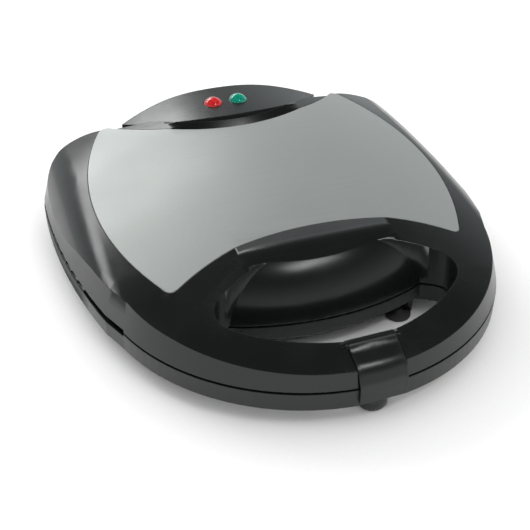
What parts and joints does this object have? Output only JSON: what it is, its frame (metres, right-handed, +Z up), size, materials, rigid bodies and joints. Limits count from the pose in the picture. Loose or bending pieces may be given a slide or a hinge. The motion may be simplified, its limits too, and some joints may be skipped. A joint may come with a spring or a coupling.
{
  "type": "sandwich_maker",
  "caption": "Clamshell sandwich maker with a domed cover, metal inlay panel, handle bow with latch, indicator lamps and hinged cooking plates",
  "frame": {"origin": "centre of the bounding box in plan, on the surface that the feet stand on", "axes": "+X to the right side seen from the handle, +Y from the handle to the hinge, +Z up"},
  "size_m": [0.24, 0.2574, 0.0671],
  "materials": {
    "black_plastic": "glossy black moulded plastic",
    "panel_metal": "satin sheet metal",
    "red_lens": "clear red plastic",
    "green_lens": "clear green plastic",
    "steel": "bright zinc-plated steel",
    "sheet_steel": "plain bright sheet",
    "rubber": "dull dark rubber",
    "coated_cast": "cast aluminium with a dark non-stick coat",
    "heater_sheath": "heat-darkened steel tube",
    "ceramic": "cream ceramic",
    "white_plastic": "off-white heat-resistant plastic",
    "lamp_glass": "clear glass with a warm tint",
    "lead_sleeve": "red silicone sleeve"
  },
  "bodies": {
    "base": {"lower_housing": "black_plastic", "handle_foot": "black_plastic", "rubber_feet": "rubber", "lower_plate": "coated_cast", "lower_heater": "heater_sheath", "lower_clips": "sheet_steel", "lower_reflector": "sheet_steel", "terminal_block": "white_plastic", "cord_bush": "rubber", "lower_leads": "lead_sleeve", "hinge_pins": "steel", "lower_screws": "steel"},
    "lid": {"upper_housing": "black_plastic", "metal_panel": "panel_metal", "red_lens": "red_lens", "green_lens": "green_lens", "latch_pin": "steel", "upper_plate": "coated_cast", "upper_heater": "heater_sheath", "upper_clips": "sheet_steel", "upper_reflector": "sheet_steel", "thermostat": "ceramic", "thermal_fuse": "ceramic", "neon_lamps": "lamp_glass", "lamp_holder": "white_plastic", "upper_leads": "lead_sleeve", "upper_screws": "steel"},
    "latch": {"latch": "black_plastic"}
  },
  "joints": [
    {"name": "lid_hinge", "type": "hinge", "parent": "base", "child": "lid", "pos_m": [0, 0.1247, 0.0245], "axis": [-1, 0, 0], "range_deg": [0, 105]},
    {"name": "latch_hinge", "type": "hinge", "parent": "lid", "child": "latch", "pos_m": [0, -0.1108, 0.0329], "axis": [-1, 0, 0], "range_deg": [0, 75]}
  ]
}
